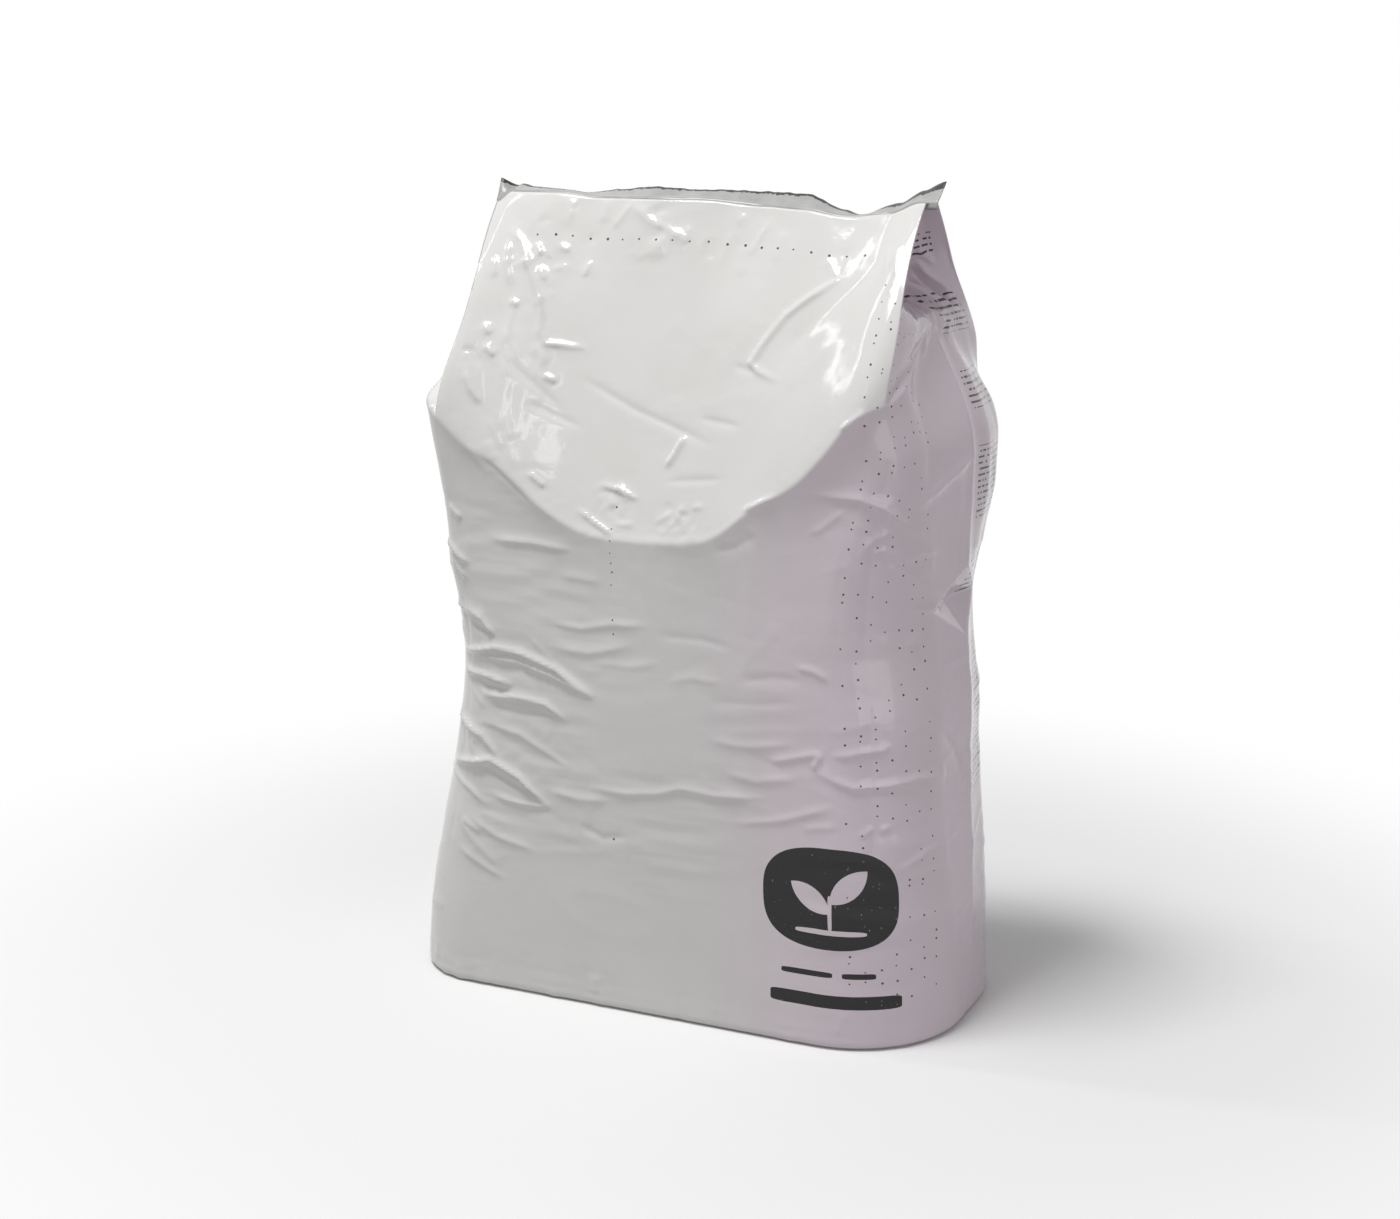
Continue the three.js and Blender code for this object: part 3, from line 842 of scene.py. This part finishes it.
def holes(tree, place, start, pitch, radius, spread, missing, seed):
    """Needle holes, one to a cell, moved about in it by a share of its size, some of them missing."""
    inside, chance, moved = cell_chance(tree, place, start, pitch, seed)
    low = [(1 - share) / 2 for share in spread]
    spot = node(tree, "VectorMath", [moved, (*spread, 0), (*low, 0)], operation="MULTIPLY_ADD")
    gap = node(tree, "VectorMath", [inside, spot], operation="SUBTRACT")
    gap = node(tree, "VectorMath", [gap, (*pitch, 0)], operation="MULTIPLY")
    gap = node(tree, "VectorMath", [gap], operation="LENGTH")
    size = node(tree, "MapRange", [chance, missing, 1.0, 0.6 * radius, radius])
    hole = node(tree, "Math", [gap, size.outputs[0]], operation="LESS_THAN")
    there = node(tree, "Math", [chance, missing], operation="GREATER_THAN")
    return both(tree, hole, there)


# %% Print
film, tree = new_material("white_polyethylene_film")
place = node(tree, "UVMap", uv_map="film").outputs[0]
axes = node(tree, "SeparateXYZ", [place])
film_round, film_up = axes.outputs[0], axes.outputs[1]

badge = block(tree, place, (0.167, 0.131), (0.058, 0.043), 2.7)
sprout = either(
    tree,
    leaf(tree, place, (0.167, 0.127), (0.199, 0.156), 0.019),
    leaf(tree, place, (0.167, 0.119), (0.134, 0.143), 0.018),
    block(tree, place, (0.167, 0.119), (0.0017, 0.015), 4.0),
    block(tree, place, (0.167, 0.103), (0.030, 0.0022), 4.0),
)
bare = node(tree, "Math", [1.0, sprout], operation="SUBTRACT")
bars = either(
    tree,
    block(tree, place, (0.146, 0.066), (0.022, 0.0024), 6.0),
    block(tree, place, (0.190, 0.066), (0.014, 0.0024), 6.0),
    block(tree, place, (0.170, 0.043), (0.056, 0.0058), 9.0),
)
worn = node(tree, "TexNoise", {"Vector": place, "Scale": 380.0, "Detail": 3.0})
kept = node(tree, "Math", [worn, 0.27], operation="GREATER_THAN")
ink = both(tree, either(tree, both(tree, badge, bare), bars), kept)

# Fine print on the rear half of the right gusset, as rows of dashes, too small on the sack to be read
inside, chance, _ = cell_chance(tree, place, (0.345, 0.06), (0.0026, 0.0056), 7.0)
row = node(tree, "SeparateXYZ", [inside])
filled = node(tree, "Math", [chance, 0.3], operation="GREATER_THAN")
dashes = both(tree, between(tree, row.outputs[1], 0.33, 0.67), filled)
_, chance, _ = cell_chance(tree, place, (0.30, 0.06), (0.2, 0.0338), 19.0)
paragraph = node(tree, "Math", [chance, 0.28], operation="GREATER_THAN")
column = both(tree, between(tree, film_round, 0.345, 0.432), between(tree, film_up, 0.06, 0.69))
fine_print = both(tree, dashes, paragraph, column)

# %% Needle holes
columns = holes(tree, place, (0.1755, 0.03), (0.0131, 0.0125), 0.0011, (0.16, 0.8), 0.40, 0.0)
corner = both(tree, between(tree, film_round, 0.1755, 0.2672), between(tree, film_up, 0.04, 0.655))
columns = both(tree, columns, corner)
row = holes(tree, place, (-0.19, 0.674), (0.0158, 0.011), 0.0013, (0.10, 0.12), 0.0, 40.0)
row = both(tree, row, between(tree, film_up, 0.674, 0.685), between(tree, film_round, -0.16, 0.155))
middle = holes(tree, place, (-0.038, 0.12), (0.012, 0.010), 0.0010, (0.3, 0.6), 0.35, 80.0)
heights = either(tree, between(tree, film_up, 0.33, 0.46), between(tree, film_up, 0.13, 0.17))
middle = both(tree, middle, between(tree, film_round, -0.038, -0.026), heights)
pierced = either(tree, columns, row, middle)

# %% Film finish
# Painted shade: the film's white goes lilac where the points carry painted lilac shade
lilac_shade_paint = node(tree, "Attribute", attribute_name="lilac").outputs["Fac"]
white = node(tree, "Mix", {0: lilac_shade_paint, 6: linear("#dfdedc"), 7: linear("#dbcdd7")}, data_type="RGBA")
cloud = node(tree, "TexNoise", {"Vector": place, "Scale": 14.0, "Detail": 4.0})
shade = node(tree, "MapRange", [cloud, 0.35, 0.7, 0.0, 0.10])
soiled = node(tree, "Mix", {0: shade, 6: white, 7: linear("#b9b5ac")}, data_type="RGBA")
printed = node(tree, "Mix", {0: ink, 6: soiled, 7: linear("#1d1c1c")}, data_type="RGBA")
lettered = node(tree, "Mix", {0: fine_print, 6: printed, 7: linear("#4c474b")}, data_type="RGBA")
colour = node(tree, "Mix", {0: pierced, 6: lettered, 7: linear("#555055")}, data_type="RGBA")
gloss = node(tree, "MapRange", [cloud, 0.3, 0.7, 0.07, 0.14])
wave = node(tree, "TexNoise", {"Vector": place, "Scale": 60.0, "Detail": 2.0})
bump = node(tree, "Bump", {"Height": wave, "Strength": 0.25, "Distance": 0.001})
finish = {"Base Color": colour, "Roughness": gloss, "IOR": 1.51, "Specular IOR Level": 0.4, "Normal": bump}
shader = node(tree, "BsdfPrincipled", finish)
node(tree, "OutputMaterial", [shader])
sack.data.materials.append(film)
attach(sack, "root")
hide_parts("compost_sack")

# %% Weld finish
weld_film, tree = new_material("welded_polyethylene")
place = node(tree, "UVMap", uv_map="film").outputs[0]
axes = node(tree, "SeparateXYZ", [place])
fray = node(tree, "TexNoise", {"Vector": place, "Scale": 260.0, "Detail": 3.0})
curled = node(tree, "MapRange", [axes.outputs[0], 0.10, 0.16, 0.0, 0.003])
climb = node(tree, "Math", [axes.outputs[1], curled], operation="ADD")
edge = node(tree, "Math", [fray, 0.006, climb], operation="MULTIPLY_ADD")
cut = node(tree, "Math", [edge, WELD_HEIGHT + 0.0006], operation="GREATER_THAN")
mottle = node(tree, "TexNoise", {"Vector": place, "Scale": 60.0, "Detail": 4.0})
grey = node(tree, "Mix", {0: mottle, 6: linear("#858584"), 7: linear("#bdbdbb")}, data_type="RGBA")
colour = node(tree, "Mix", {0: cut, 6: grey, 7: linear("#1c1c1c")}, data_type="RGBA")
shader = node(tree, "BsdfPrincipled", {"Base Color": colour, "Roughness": 0.32, "IOR": 1.51})
node(tree, "OutputMaterial", [shader])
weld.data.materials.append(weld_film)
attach(weld, "root")
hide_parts("compost_sack")

# %% [markdown]
# ## Floor, light and camera
#
# A sack of white film shows its folds by small changes of shade, so the light is soft and comes mostly from
# above. A large lamp, a little to the left, gives the head its brightness and leaves the right gusset in
# shade. A weak lamp low on the right fills that shade. Two narrow lamps, one in front and one on the left,
# are there to be mirrored: the creases of the film catch them as glints.
#
# The floor keeps its shadow near the sack and fades to the white of the background further out.

# %% Floor
scene = bpy.context.scene
scene.view_settings.view_transform = "Standard"
bpy.ops.mesh.primitive_plane_add(size=12)
floor = bpy.context.object
floor.name = "floor"
paint, tree = new_material("pale_floor")
path = node(tree, "LightPath")
seen = either(tree, *(path.outputs[f"Is {kind} Ray"] for kind in ("Camera", "Glossy", "Transmission")))
colour = node(tree, "Mix", {0: seen, 6: linear("#c4c4c4"), 7: linear("#f6f6f6")}, data_type="RGBA")
matt = node(tree, "BsdfDiffuse", [colour])
white = node(tree, "Emission", [(1, 1, 1, 1), 1.0])
away = node(tree, "VectorMath", [node(tree, "TexCoord").outputs["Object"]], operation="LENGTH")
reach = node(tree, "MapRange", [away, 0.35, 1.0], interpolation_type="SMOOTHSTEP")
share = both(tree, reach, seen)
node(tree, "OutputMaterial", [node(tree, "MixShader", [share, matt, white])])
floor.data.materials.append(paint)

# %% Light
world = bpy.data.worlds.new("studio")
scene.world = world
world.use_nodes = True
tree = world.node_tree
tree.nodes.clear()
path = node(tree, "LightPath")
seen = either(tree, *(path.outputs[f"Is {kind} Ray"] for kind in ("Camera", "Glossy", "Transmission")))
level = node(tree, "MapRange", [seen, 0.0, 1.0, 0.33, 1.0])
node(tree, "OutputWorld", [node(tree, "Background", [(1, 1, 1, 1), level])])


def softbox(name, place, aim, size, power):
    """A rectangular lamp that faces aim."""
    lamp = bpy.data.lights.new(name, "AREA")
    lamp.shape = "RECTANGLE"
    lamp.size, lamp.size_y = size
    lamp.energy = power
    holder = bpy.data.objects.new(name, lamp)
    scene.collection.objects.link(holder)
    holder.location = place
    gap = np.array(aim) - np.array(place)
    holder.rotation_euler = (math.acos(-gap[2] / np.linalg.norm(gap)), 0, math.atan2(-gap[0], gap[1]))


softbox("overhead", (-0.45, -0.8, 3.2), (0, 0, 0.4), (1.0, 0.8), 60)
softbox("window", (-0.15, -1.73, 1.85), (0, 0, 0.5), (0.13, 0.36), 0.6)
softbox("fill", (2.0, -1.5, 0.5), (0, 0, 0.3), (1.2, 1.2), 6)
softbox("strip", (-1.6, -0.3, 1.85), (0, 0, 0.5), (0.08, 2.1), 5)

# %% Camera
CAMERA_AZIMUTH = math.radians(24.6)
CAMERA_DISTANCE = 1.87
CAMERA_HEIGHT = 0.77
camera = bpy.data.cameras.new("camera")
camera.sensor_width = 36
camera.lens = 36 * 2200 / 1400
eye = bpy.data.objects.new("camera", camera)
scene.collection.objects.link(eye)
sideways = CAMERA_DISTANCE * math.sin(CAMERA_AZIMUTH)
forwards = CAMERA_DISTANCE * math.cos(CAMERA_AZIMUTH)
eye.location = (sideways, -forwards, CAMERA_HEIGHT)
eye.rotation_euler = (math.radians(90 - 13.2), 0, CAMERA_AZIMUTH + math.radians(0.2))
scene.camera = eye
